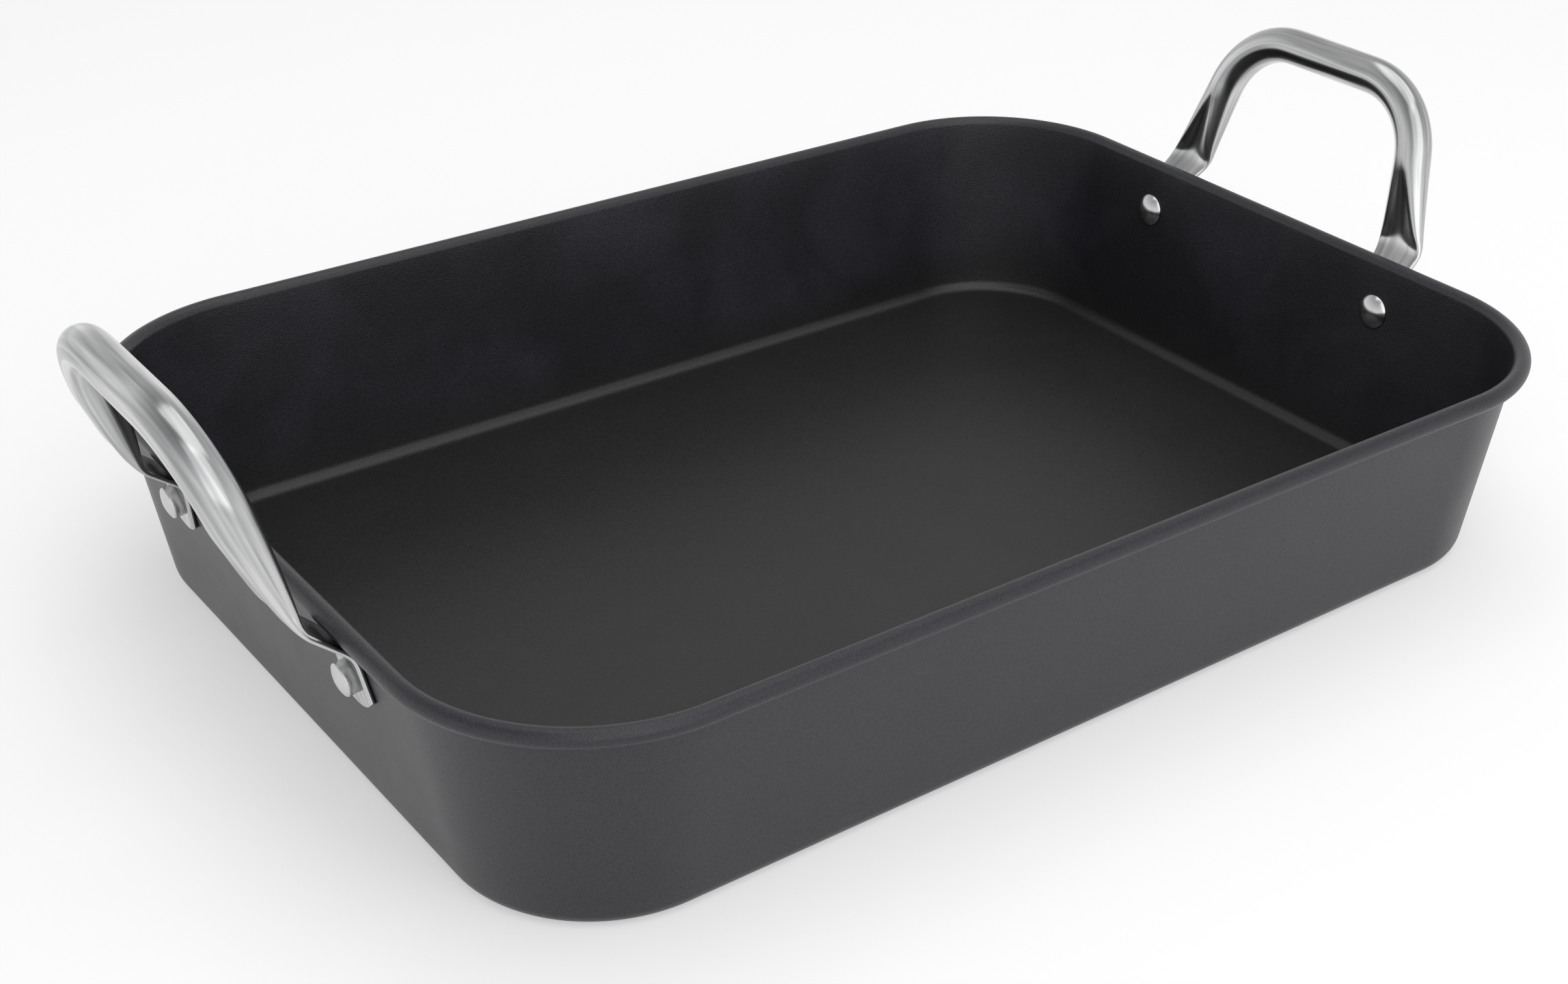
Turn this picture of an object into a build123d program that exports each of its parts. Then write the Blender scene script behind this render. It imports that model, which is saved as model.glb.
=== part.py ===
from build123d import *
import math
import os

# A one-piece pressed roasting pan with two upright handles, each held by two rivets.
# The pan stands on z = 0 with its middle over the origin. X runs from handle to handle,
# Y runs along a handle's grip, and the front is -Y. Sizes are in millimetres and degrees.

# Pan shell
rim_length = 406.0            # along X, over the rolled rim
rim_width = 301.0             # along Y, over the rolled rim
rim_corner_radius = 59.5      # at the outside of the rolled rim
pan_height = 71.6             # from the ground to the top of the rolled rim
sheet = 1.2                   # thickness of the pressed sheet
wall_draft = 8.5              # degrees that each wall leans outward
floor_fillet = 4.5            # inside radius between floor and wall
bead_diameter = 5.8           # outside of the rolled rim
curl_gap = 0.3                # between the free edge of the curl and the wall

# Rivets
rivet_spacing = 116.0         # between the two rivets of a handle
shank_diameter = 5.0
hole_clearance = 0.1          # round a shank, on the radius
head_diameter = 12.6          # domed head, inside the pan
head_rise = 3.0
tail_diameter = 9.9           # set tail, outside the handle's tab
tail_height = 4.3
tail_crown = 1.2              # the part of the tail's height that is domed
rivet_seat = 0.05             # left under a tail and behind a tab

# Handles, bent from round tube whose ends are pressed flat
tube_diameter = 12.7
tube_wall = 0.9
tube_flat = 0.4               # narrowest flat of a section, kept where the tube is round
grip_rise = 51.9              # of the grip's centre line above the rim
grip_reach = 23.1             # of the grip's centre line beyond the rim
grip_span = 83.6              # between the arms' centre lines, at the grip
grip_bend_radius = 28.5
arm_lead = 2.0                # straight round tube between the flattened arm and the bend
strap_clearance = 0.84        # between the rim's roll and the strap that steps round it
strap_drop = 10.7             # from the top of the rim down to where the strap leaves the wall
strap_bend_radius = 5.0       # where the strap leaves the wall
shoulder_reach = 8.2          # of the strap's middle beyond the rim, where it turns up
shoulder_bend_radius = 5.0    # where the strap turns up into the arm
tab_width = 15.0
tab_rise = 8.0                # from a rivet's axis up to where the strap leaves the wall
tab_drop = 9.3                # from the rivet's axis down to the tab's end
tab_end_radius = 13.0
arm_sections = 8              # steps of the loft along a pressed arm
arm_swell_power = 0.63        # under 1, so that an arm opens fastest next to its strap
arm_spacing_power = 1.5       # over 1, so that the sections stand closest there
bend_sections = 3             # steps of the loft in each stretch of the strap

# One overrun serves every cut
overrun = 2.0

# The corners of the rim turn about these points
corner_x = rim_length / 2 - rim_corner_radius
corner_y = rim_width / 2 - rim_corner_radius

bead_radius = bead_diameter / 2
tab_thickness = 2 * tube_wall
grip_height = pan_height + grip_rise
draft_sine = math.sin(math.radians(wall_draft))
draft_cosine = math.cos(math.radians(wall_draft))

# Height of the rivets' axes, at the wall's outer face
rivet_height = pan_height - strap_drop - tab_rise * draft_cosine

# In a section across a wall, with x measured from the corner's axis and y upward
bead_centre = Vector(rim_corner_radius - bead_radius, pan_height - bead_radius)
wall_inward = Vector(-draft_cosine, draft_sine)
wall_top_inside = bead_centre + wall_inward * bead_radius
wall_top_outside = bead_centre + wall_inward * (bead_radius - sheet)
fillet_outside = floor_fillet + sheet
fillet_centre = Vector(
    wall_top_outside.X
    - (fillet_outside - (fillet_outside - wall_top_outside.Y) * draft_sine) / draft_cosine,
    fillet_outside,
)


def wall_x(height):
    """X of the right wall's outer face at a height."""
    rise = height - wall_top_outside.Y
    return corner_x + wall_top_outside.X + rise * draft_sine / draft_cosine


def pan_section():
    """Sheet section from the middle of the floor to the free edge of the curl."""
    start_angle = 180.0 - wall_draft
    gap_share = (bead_radius - sheet - curl_gap) / bead_radius
    curl_angle = 360.0 - math.degrees(math.acos(gap_share))
    inner_curl = CenterArc(bead_centre, bead_radius - sheet, start_angle, -curl_angle)
    outer_curl = CenterArc(bead_centre, bead_radius, start_angle, -curl_angle)
    outer_fillet = CenterArc(fillet_centre, fillet_outside, -90.0, 90.0 - wall_draft)
    inner_fillet = CenterArc(fillet_centre, floor_fillet, -90.0, 90.0 - wall_draft)
    outline = [
        Line((0, 0), outer_fillet @ 0),
        outer_fillet,
        Line(outer_fillet @ 1, inner_curl @ 0),
        inner_curl,
        Line(inner_curl @ 1, outer_curl @ 1),
        outer_curl,
        Line(outer_curl @ 0, inner_fillet @ 1),
        inner_fillet,
        Line(inner_fillet @ 0, (0, sheet)),
        Line((0, sheet), (0, 0)),
    ]
    return Plane.XZ * make_face(outline)


def rivet_plane(front_or_back):
    """Plane on the right wall's outer face at a rivet, with z outward along its axis."""
    return Plane(
        origin=(wall_x(rivet_height), front_or_back * rivet_spacing / 2, rivet_height),
        x_dir=(0, 1, 0),
        z_dir=(draft_cosine, 0, -draft_sine),
    )


def rivet_hole(front_or_back):
    """Cutter for a rivet's hole, through the wall and a handle's tab."""
    reach = sheet + tab_thickness + overrun
    shaft = Cylinder(shank_diameter / 2 + hole_clearance, 2 * reach)
    return rivet_plane(front_or_back) * shaft


def both_sides(part):
    """A part of the right side together with its mirror image on the left."""
    return part + mirror(part, about=Plane.YZ)


def make_pan():
    """Pressed pan: four walls, four conical corners, a floor and the rolled rim."""
    section = pan_section()
    corner = revolve(section, axis=Axis.Z, revolution_arc=90)
    half_lengths = (corner_y, corner_x, corner_y, corner_x)
    corner_places = (
        (corner_x, corner_y),
        (-corner_x, corner_y),
        (-corner_x, -corner_y),
        (corner_x, -corner_y),
    )
    floor = Box(2 * corner_x, 2 * corner_y, sheet, align=(Align.CENTER, Align.CENTER, Align.MIN))
    pan = floor
    for turn, (place, half_length) in enumerate(zip(corner_places, half_lengths)):
        wall = extrude(section, amount=2 * half_length)
        pan += Pos(*place) * Rot(0, 0, 90 * turn) * corner
        pan += Pos(*place) * Rot(0, 0, 90 * turn) * wall
    for front_or_back in (-1, 1):
        pan -= both_sides(rivet_hole(front_or_back))
    return pan


def tube_width(thickness):
    """Width of the tube where it is pressed to a thickness and keeps its girth."""
    return thickness + tube_flat + math.pi * (tube_diameter - thickness) / 2


def arm_points():
    """Corners of the right handle's back arm: tab end, two strap bends and the grip's corner."""
    seat = (rivet_seat + tab_thickness / 2) / draft_cosine

    def tab_point(distance):
        height = rivet_height + distance * draft_cosine
        return Vector(wall_x(height) + seat, 0, height)

    tab_end = tab_point(-tab_drop)
    strap_bend = tab_point(tab_rise)
    # The strap steps outward on the line that just clears the rim's roll
    to_bead = Vector(corner_x + bead_centre.X, 0, bead_centre.Y) - strap_bend
    kept_off = bead_radius + strap_clearance + tab_thickness / 2
    step_angle = math.atan2(to_bead.X, to_bead.Z) + math.asin(kept_off / to_bead.length)
    shoulder_x = rim_length / 2 + shoulder_reach
    shoulder_height = strap_bend.Z + (shoulder_x - strap_bend.X) / math.tan(step_angle)
    shoulder = Vector(shoulder_x, 0, shoulder_height)
    grip_corner = Vector(rim_length / 2 + grip_reach, 0, grip_height)
    # Seen along X, the tab, the strap and the arm lie on one straight line
    splay = (rivet_spacing - grip_span) / 2 / (grip_height - rivet_height)
    points = []
    for point in (tab_end, strap_bend, shoulder, grip_corner):
        side = grip_span / 2 + (grip_height - point.Z) * splay
        points.append(Vector(point.X, side, point.Z))
    return points


def mirrored(point):
    """The front arm's point that answers a point of the back arm."""
    return Vector(point.X, -point.Y, point.Z)


def tube_section(line, distance, width, thickness, square_share=1.0):
    """Section of the pressed tube on a plane across its line.

    At a share of 1 the section is square to the line. At a share of 0 its width runs along Y,
    so that the strap bends about lines that run along the wall.
    """
    along = line.tangent_at(distance, position_mode=PositionMode.LENGTH)
    through = along.cross(Vector(0, 1, 0)).normalized()
    square = (Vector(0, 1, 0) - along * along.Y).normalized()
    across = (Vector(0, 1, 0) - along * along.Y * square_share).normalized()
    plane = Plane(
        origin=line.position_at(distance, position_mode=PositionMode.LENGTH),
        x_dir=across,
        z_dir=across.cross(through),
    )
    return plane * SlotOverall(width / across.dot(square), thickness)


def strap_widths(lengths):
    """Widths of the strap at the ends of its stretches, from the tab to the pressed arm."""
    widths = [tab_width, tab_width]
    done = 0.0
    for length in lengths[1:]:
        done += length
        share = done / sum(lengths[1:])
        widths.append(tab_width + (tube_width(tab_thickness) - tab_width) * share)
    return widths


def make_strap(line, stretches):
    """The flat strap: tab, bend, step and bend, one loft for each stretch of its line."""
    widths = strap_widths([edge.length for edge in stretches])
    strap = None
    done = 0.0
    for stretch, first_width, last_width in zip(stretches, widths, widths[1:]):
        sections = []
        for step in range(bend_sections + 1):
            share = step / bend_sections
            width = first_width + (last_width - first_width) * share
            distance = done + stretch.length * share
            sections.append(tube_section(line, distance, width, tab_thickness, 0.0))
        piece = loft(sections)
        strap = piece if strap is None else strap + piece
        done += stretch.length
    return strap


def make_pressed_arm(line, start, inset):
    """The arm that swells from the strap to the round tube, drawn in by an inset all round."""
    sections = []
    for step in range(arm_sections + 1):
        share = (step / arm_sections) ** arm_spacing_power
        swell = share ** arm_swell_power
        thickness = tab_thickness + (tube_diameter - tab_thickness) * swell
        if thickness - 2 * inset > rivet_seat:
            distance = start + (line.length - start) * share
            width = tube_width(thickness) - 2 * inset
            sections.append(tube_section(line, distance, width, thickness - 2 * inset, share))
    return loft(sections)


def make_grip(arm_top, grip_corner, inset):
    """The two bends and the grip between the arms, drawn in by an inset on every side."""
    line = FilletPolyline(
        arm_top, grip_corner, mirrored(grip_corner), mirrored(arm_top),
        radius=grip_bend_radius,
    )
    width = tube_width(tube_diameter) - 2 * inset
    return sweep(tube_section(line, 0, width, tube_diameter - 2 * inset), path=line)


def tab_waste(tab_end, strap_bend):
    """Cutter that rounds a tab's end."""
    along = (strap_bend - tab_end).normalized()
    through = along.cross(Vector(0, 1, 0)).normalized()
    plane = Plane(origin=tab_end, x_dir=along.cross(through), z_dir=through)
    block = Rectangle(
        tab_width + 2 * overrun, tab_end_radius + tab_width, align=(Align.CENTER, Align.MAX)
    )
    outline = Pos(0, tab_end_radius) * (block - Circle(tab_end_radius))
    return extrude(plane * outline, amount=tab_thickness, both=True)


def make_handle():
    """Right handle: a bent tube with two flattened ends and a hole in each tab."""
    tab_end, strap_bend, shoulder, grip_corner = arm_points()
    arm = (grip_corner - shoulder).normalized()
    half_turn = math.radians(arm.get_angle(Vector(0, -1, 0))) / 2
    arm_top = grip_corner - arm * (grip_bend_radius * math.tan(half_turn) + arm_lead)
    below_end = tab_end - (strap_bend - tab_end).normalized() * overrun
    line = FilletPolyline(
        below_end, strap_bend, shoulder, arm_top,
        radius=[strap_bend_radius, shoulder_bend_radius],
    )
    stretches = line.edges().sort_by_distance(below_end)[:4]
    press_start = sum(edge.length for edge in stretches)

    def tube(inset):
        arm = make_pressed_arm(line, press_start, inset)
        return make_grip(arm_top, grip_corner, inset) + arm + mirror(arm, about=Plane.XZ)

    strap = make_strap(line, stretches)
    handle = tube(0) - tube(tube_wall) + strap + mirror(strap, about=Plane.XZ)
    waste = tab_waste(tab_end, strap_bend)
    handle -= waste + mirror(waste, about=Plane.XZ)
    for front_or_back in (-1, 1):
        handle -= rivet_hole(front_or_back)
    return handle


def make_rivet():
    """A rivet about Z, with the wall's outer face at z = 0 and its tail upward."""
    head_seat = -sheet
    tail_seat = tab_thickness + 2 * rivet_seat
    tail_top = tail_seat + tail_height
    head_edge = Vector(head_diameter / 2, head_seat)
    head_top = Vector(0, head_seat - head_rise)
    tail_edge = Vector(tail_diameter / 2, tail_top - tail_crown)
    tail_middle = Vector(0, tail_top)
    dome_radius = (head_edge.X ** 2 + head_rise ** 2) / (2 * head_rise)
    crown_radius = (tail_edge.X ** 2 + tail_crown ** 2) / (2 * tail_crown)
    outline = [
        RadiusArc(head_top, head_edge, -dome_radius),
        Line(head_edge, (shank_diameter / 2, head_seat)),
        Line((shank_diameter / 2, head_seat), (shank_diameter / 2, tail_seat)),
        Line((shank_diameter / 2, tail_seat), (tail_edge.X, tail_seat)),
        Line((tail_edge.X, tail_seat), tail_edge),
        RadiusArc(tail_edge, tail_middle, -crown_radius),
        Line(tail_middle, head_top),
    ]
    return revolve(Plane.XZ * make_face(outline), axis=Axis.Z)


def save(part, node):
    """Writes one node's STEP file."""
    part.label = node
    export_step(part, os.path.join("parts", node + ".step"))


os.makedirs("parts", exist_ok=True)
save(make_pan(), "pan_body")
right_handle = make_handle()
save(right_handle, "handle_right")
save(mirror(right_handle, about=Plane.YZ), "handle_left")
rivet = make_rivet()
for end, front_or_back in (("front", -1), ("back", 1)):
    right_rivet = rivet_plane(front_or_back) * rivet
    save(right_rivet, "rivet_right_" + end)
    save(mirror(right_rivet, about=Plane.YZ), "rivet_left_" + end)
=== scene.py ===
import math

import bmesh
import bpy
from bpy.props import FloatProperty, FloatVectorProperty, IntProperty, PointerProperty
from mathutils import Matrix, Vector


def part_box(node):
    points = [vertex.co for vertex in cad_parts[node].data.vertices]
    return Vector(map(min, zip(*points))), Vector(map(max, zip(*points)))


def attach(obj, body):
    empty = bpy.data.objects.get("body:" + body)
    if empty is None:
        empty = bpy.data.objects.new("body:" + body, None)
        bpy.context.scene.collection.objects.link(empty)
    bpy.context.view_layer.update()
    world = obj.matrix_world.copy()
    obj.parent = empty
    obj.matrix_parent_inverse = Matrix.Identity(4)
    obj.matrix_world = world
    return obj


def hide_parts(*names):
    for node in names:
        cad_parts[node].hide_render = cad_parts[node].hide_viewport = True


bl_info = {
    "name": "Roasting Pan Finish",
    "version": (1, 0, 0),
    "blender": (4, 5, 0),
    "location": "3D View > Sidebar > Roasting Pan",
    "description": "Dresses a packed roasting pan: coated shell, pressed tube handles, rivets and a studio",
    "category": "Object",
}

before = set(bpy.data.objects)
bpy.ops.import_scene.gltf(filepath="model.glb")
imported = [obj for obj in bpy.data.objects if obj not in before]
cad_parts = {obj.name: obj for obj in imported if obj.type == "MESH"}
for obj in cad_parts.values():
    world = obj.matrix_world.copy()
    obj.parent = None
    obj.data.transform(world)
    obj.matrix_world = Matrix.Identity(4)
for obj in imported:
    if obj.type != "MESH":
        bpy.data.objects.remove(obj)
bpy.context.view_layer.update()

# The pan's box in the imported model
PAN_LOW, PAN_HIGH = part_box("pan_body")
BODY = "root"

# The photograph's frame, in pixels
PHOTO_WIDTH = 2409
PHOTO_HEIGHT = 1512

# Attributes that the meshes carry for their materials
INSIDE = "inside"
TAIL = "tail"

# Share of the sheet's thickness under which two points are one
MERGE_SHARE = 0.001

# Ranges of a mask over which an effect runs from none to full
GRAIN_RANGE = (0.35, 0.65)
PATCH_RANGE = (0.35, 0.95)
STREAK_RANGE = (0.38, 0.62)

# How far wiping lowers and raises the steel's roughness, and a rivet's brightness
WORN_RANGE = (-0.04, 0.06)
RIVET_TINT_RANGE = (0.9, 1.05)

# Rise of a ray over which the surround runs from the horizon's white to the grey overhead
SKY_RANGE = (0.15, 0.85)

# Socket kinds
FLOAT = "NodeSocketFloat"
COUNT = "NodeSocketInt"
VECTOR = "NodeSocketVector"
MATERIAL = "NodeSocketMaterial"


# Settings

def length(name, description, default):
    """A length in metres that a user can change."""
    return FloatProperty(
        name=name, description=description, default=default, min=0.0, unit="LENGTH", precision=5
    )


def angle(name, description, degrees):
    """An angle that a user can change."""
    return FloatProperty(
        name=name, description=description, default=math.radians(degrees), subtype="ANGLE"
    )


def colour(name, description, default):
    """A colour that a user can change, in linear light."""
    return FloatVectorProperty(
        name=name, description=description, default=default, subtype="COLOR", min=0.0, max=1.0
    )


def factor(name, description, default):
    """A share or strength that a user can change."""
    return FloatProperty(name=name, description=description, default=default, min=0.0)


def count(name, description, default):
    """A number of steps that a user can change."""
    return IntProperty(name=name, description=description, default=default, min=2)


def place(name, description, default):
    """A point in space that a user can change."""
    return FloatVectorProperty(
        name=name, description=description, default=default, subtype="TRANSLATION", unit="LENGTH"
    )


class ShellSizes(bpy.types.PropertyGroup):
    """The pressed shell: one sheet with leaning walls and a rolled rim."""

    rim_length: length("Length", "Length over the rolled rim", PAN_HIGH.x - PAN_LOW.x)
    rim_width: length("Width", "Width over the rolled rim", PAN_HIGH.y - PAN_LOW.y)
    height: length("Height", "Height from the ground to the top of the rim", PAN_HIGH.z)
    corner_radius: length("Corner", "Radius of the rim's corners, at its outermost line", 0.0595)
    sheet: length("Sheet", "Thickness of the sheet", 0.0012)
    wall_draft: angle("Wall draft", "Lean of the walls from the vertical", 8.5)
    floor_fillet: length("Floor fillet", "Inside radius between the floor and the walls", 0.0045)
    bead_diameter: length("Rim roll", "Outer diameter of the rolled rim", 0.0058)
    curl_gap: length("Curl gap", "Gap between the roll's free edge and the wall", 0.0003)
    path_step: length("Path step", "Length of a facet round the pan", 0.003)
    corner_steps: count("Corner steps", "Points in a corner before the path is stepped evenly", 64)
    fillet_steps: count("Fillet steps", "Facets across the floor's fillet", 10)
    wall_steps: count("Wall steps", "Rows of facets up a wall", 14)
    roll_steps: count("Roll steps", "Facets round the rolled rim", 44)


class HandleSizes(bpy.types.PropertyGroup):
    """A handle: a bent tube with its ends pressed flat."""

    tube_diameter: length("Tube", "Outer diameter of the tube", 0.0127)
    tube_wall: length("Tube wall", "Thickness of the tube's wall", 0.0009)
    tube_flat: length("Least flat", "Flat left where the tube is round", 0.0004)
    grip_rise: length("Grip rise", "Height of the grip's centre line above the rim", 0.0519)
    grip_reach: length("Grip reach", "Reach of the grip's centre line beyond the rim", 0.0231)
    grip_span: length("Grip span", "Distance between the arms' centre lines at the grip", 0.0836)
    grip_bend_radius: length("Grip bend", "Radius of the bends between grip and arms", 0.0285)
    arm_lead: length("Arm lead", "Round tube between a pressed arm and its bend", 0.002)
    strap_clearance: length("Strap clearance", "Gap between the rim's roll and the strap", 0.00084)
    strap_drop: length("Strap drop", "From the rim's top to where the strap leaves the wall", 0.0107)
    strap_bend_radius: length("Strap bend", "Radius where the strap leaves the wall", 0.005)
    shoulder_reach: length("Shoulder reach", "Reach of the strap's middle beyond the rim", 0.0082)
    shoulder_bend_radius: length("Shoulder bend", "Radius where the strap turns up", 0.005)
    swell_power: factor("Arm swell", "Under 1, so that an arm opens fastest by its strap", 0.63)
    groove_depth: length("Groove", "Hollow along the middle of a pressed arm's flats", 0.0016)
    tab_width: length("Tab width", "Width of the flat tab", 0.015)
    tab_rise: length("Tab rise", "From a rivet's axis up to where the strap leaves the wall", 0.008)
    tab_drop: length("Tab drop", "From a rivet's axis down to the tab's end", 0.0093)
    tab_end_radius: length("Tab end", "Radius of the tab's rounded end", 0.013)
    end_reach: length("End reach", "Stretch of the tab whose rows follow its rounded end", 0.008)
    cut_edge: length("Cut edge", "Rounding of the tab's cut end", 0.0002)
    line_step: length("Line step", "Length of a facet along the tube", 0.0007)
    line_blend: length("Line blend", "Half length over which a bend runs into a straight", 0.0028)
    quarter_steps: count("Quarter steps", "Facets round a quarter of the tube", 9)
    flat_steps: count("Flat steps", "Facets across a pressed flat", 12)
    edge_steps: count("Edge steps", "Facets of the cut end's rounding", 3)


class RivetSizes(bpy.types.PropertyGroup):
    """The rivets: a domed head inside the pan and a set tail outside."""

    spacing: length("Spacing", "Distance between the two rivets of a handle", 0.116)
    shank_diameter: length("Shank", "Diameter of the shank", 0.005)
    head_diameter: length("Head", "Diameter of the domed head", 0.0126)
    head_rise: length("Head rise", "Rise of the dome over the wall", 0.003)
    tail_diameter: length("Tail", "Diameter of the set tail", 0.0099)
    tail_height: length("Tail height", "Height of the set tail over the tab", 0.0043)
    tail_crown: length("Tail crown", "Part of the tail's height that is domed", 0.0012)
    tail_edge: length("Tail edge", "Rounding of the tail's rim", 0.0007)
    seat: length("Seat", "Play under the tail and behind the tab", 0.00005)
    round_steps: count("Round steps", "Facets round a rivet", 56)
    dome_steps: count("Dome steps", "Facets across a dome", 12)


class Finishes(bpy.types.PropertyGroup):
    """Colours and gloss of the coat and of the steel."""

    coat_outside: colour("Coat outside", "Colour of the coat outside the pan", (0.0245, 0.0225, 0.0295))
    # The inner walls' bluish tint is partly the coat's own tone and partly painted sheen
    coat_walls_and_sheen: colour("Coat on the walls", "Colour of the coat on the inner walls", (0.0130, 0.0122, 0.0165))
    coat_floor: colour("Coat on the floor", "Colour of the coat on the pan's floor", (0.0150, 0.0148, 0.0145))
    # Lighter bluish patches on the inner walls: partly uneven coat tone, partly painted sheen
    coat_tone_and_sheen_patch: colour("Coat patches", "Colour of the soft patches on the walls", (0.038, 0.036, 0.047))
    wall_low: length("Wall low", "Height where the floor's colour starts to turn into the walls'", 0.002)
    wall_high: length("Wall high", "Height from which the walls have their own colour", 0.02)
    patch_width: length("Patch width", "Width of the soft patches on the walls", 0.045)
    patch_contrast: factor("Patch contrast", "Contrast of the soft patches", 1.5)
    patch_strength: factor("Patch strength", "Share of its own colour in a full patch", 0.8)
    speckle: factor("Speckle", "How far a grain's brightness strays from 1", 0.45)
    coat_roughness: factor("Coat roughness", "Roughness of the coat", 0.38)
    coat_wear: factor("Coat wear", "How far wiping changes the coat's roughness", 0.05)
    grain_width: length("Grain width", "Width of a grain in the coat", 0.0005)
    grain_depth: length("Grain depth", "Depth of the coat's grain", 0.00005)
    wave_width: length("Wave width", "Width of the slow waves in the pressed sheet", 0.06)
    wave_depth: length("Wave depth", "Depth of the slow waves in the pressed sheet", 0.0002)
    steel: colour("Steel", "Colour of the polished steel", (0.64, 0.645, 0.64))
    # Colour of the darker streaks along a tube: partly rubbed steel, partly painted dark reflection
    steel_dull_and_reflection: colour("Dull steel", "Colour of the steel where it is rubbed dull", (0.35, 0.355, 0.36))
    steel_roughness: factor("Steel roughness", "Roughness of the polished steel", 0.2)
    smear_width: length("Smear width", "Width of the wiping marks on a tube", 0.018)
    streak_length: length("Streak length", "Length of the dull streaks along a tube", 0.06)
    streak_width: length("Streak width", "Width of the dull streaks along a tube", 0.0022)
    rivet_smear_width: length("Rivet smear", "Width of the wiping marks on a rivet", 0.004)
    rivet_contrast: factor("Rivet contrast", "Contrast of the wiping marks on a rivet", 1.4)
    pit_width: length("Pit width", "Width of the pits in a rivet's set tail", 0.0009)
    tail_roughness: factor("Tail roughness", "Roughness of the rivets' set tails", 0.38)
    polish_depth: length("Polish depth", "Depth of the polishing lines", 0.000009)


class StudioSettings(bpy.types.PropertyGroup):
    """Floor, lamps and camera."""

    floor_side: length("Floor", "Side of the floor", 12.0)
    floor_drop: length("Floor drop", "How far the floor lies under the pan", 0.0003)
    floor_colour: colour("Floor colour", "Colour of the floor", (0.8, 0.8, 0.8))
    floor_glow: factor("Floor glow", "Light added where the camera or a gloss sees the floor", 0.42)
    sky: factor("Sky", "Strength of the sky for everything but the camera and gloss", 0.6)
    zenith: factor("Zenith", "Brightness overhead, where 1 is the white of the horizon", 0.38)
    key_place: place("Key lamp", "Where the key lamp hangs, in front of the pan", (-0.3, -1.5, 1.35))
    key_side: length("Key lamp side", "Side of the key lamp", 2.2)
    key_power: factor("Key lamp power", "Power of the key lamp in watts", 15.0)
    top_place: place("Top lamp", "Where the top lamp hangs, over the pan", (0.25, 0.05, 1.9))
    top_side: length("Top lamp side", "Side of the top lamp", 1.8)
    top_power: factor("Top lamp power", "Power of the top lamp in watts", 11.0)
    camera_place: place("Camera", "Where the camera stands", (-0.39411, -0.54249, 0.39126))
    camera_azimuth: angle("Azimuth", "Turn of the camera about the vertical", -38.33)
    camera_elevation: angle("Elevation", "Angle at which the camera looks down", 28.87)
    camera_roll: angle("Roll", "Turn of the camera about its own axis", 1.28)
    camera_lens: FloatProperty(
        name="Lens", description="Focal length of the camera in millimetres", default=52.7515
    )
    centre_column: FloatProperty(
        name="Centre column", description="Photograph's column on the lens's axis", default=1403.56,
        subtype="PIXEL",
    )
    centre_row: FloatProperty(
        name="Centre row", description="Photograph's row on the lens's axis", default=739.06,
        subtype="PIXEL",
    )


class RoastingPanSettings(bpy.types.PropertyGroup):
    """Everything that a user can change."""

    shell: PointerProperty(type=ShellSizes)
    handle: PointerProperty(type=HandleSizes)
    rivet: PointerProperty(type=RivetSizes)
    finish: PointerProperty(type=Finishes)
    studio: PointerProperty(type=StudioSettings)


def settings():
    """The scene's settings."""
    return bpy.context.scene.roasting_pan


# Nodes

def fill_input(tree, socket, value):
    """Links a socket to a socket, or sets its value."""
    if isinstance(value, bpy.types.NodeSocket):
        tree.links.new(value, socket)
    else:
        socket.default_value = value


def add_node(tree, kind, inputs=None, **fields):
    """Adds a node, sets its fields, and sets or links the inputs that are given."""
    node = tree.nodes.new(kind)
    for field, value in fields.items():
        setattr(node, field, value)
    for name, value in (inputs or {}).items():
        fill_input(tree, node.inputs[name], value)
    return node


def calculate(tree, operation, *values):
    """A plain operation on numbers."""
    return add_node(
        tree, "ShaderNodeMath", dict(enumerate(values)), operation=operation
    ).outputs["Value"]


def scaled(tree, vector, amount):
    """A vector or colour times a number."""
    node = add_node(tree, "ShaderNodeVectorMath", {"Vector": vector}, operation="SCALE")
    fill_input(tree, node.inputs["Scale"], amount)
    return node.outputs["Vector"]


def spread(tree, share, low, high, start=0.0, end=1.0):
    """Runs from low to high as share runs from start to end."""
    return add_node(
        tree, "ShaderNodeMapRange",
        {"Value": share, "From Min": start, "From Max": end, "To Min": low, "To Max": high},
    ).outputs["Result"]


def blend_colours(tree, share, first, second):
    """Runs from the first colour to the second as share runs from 0 to 1."""
    node = add_node(tree, "ShaderNodeMix", data_type="RGBA")
    colours = [socket for socket in node.inputs if socket.type == "RGBA"]
    fill_input(tree, node.inputs["Factor"], share)
    for socket, value in zip(colours, (first, second)):
        fill_input(tree, socket, (*value, 1.0) if isinstance(value, tuple) else value)
    return next(socket for socket in node.outputs if socket.type == "RGBA")


def new_group(name, inputs, outputs):
    """An empty shader node group with named inputs and outputs."""
    tree = bpy.data.node_groups.new(name, "ShaderNodeTree")
    for label, kind, default in inputs:
        socket = tree.interface.new_socket(label, in_out="INPUT", socket_type=kind)
        if default is not None:
            socket.default_value = default
    for label, kind in outputs:
        tree.interface.new_socket(label, in_out="OUTPUT", socket_type=kind)
    return tree, tree.nodes.new("NodeGroupInput").outputs, tree.nodes.new("NodeGroupOutput").inputs


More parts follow.
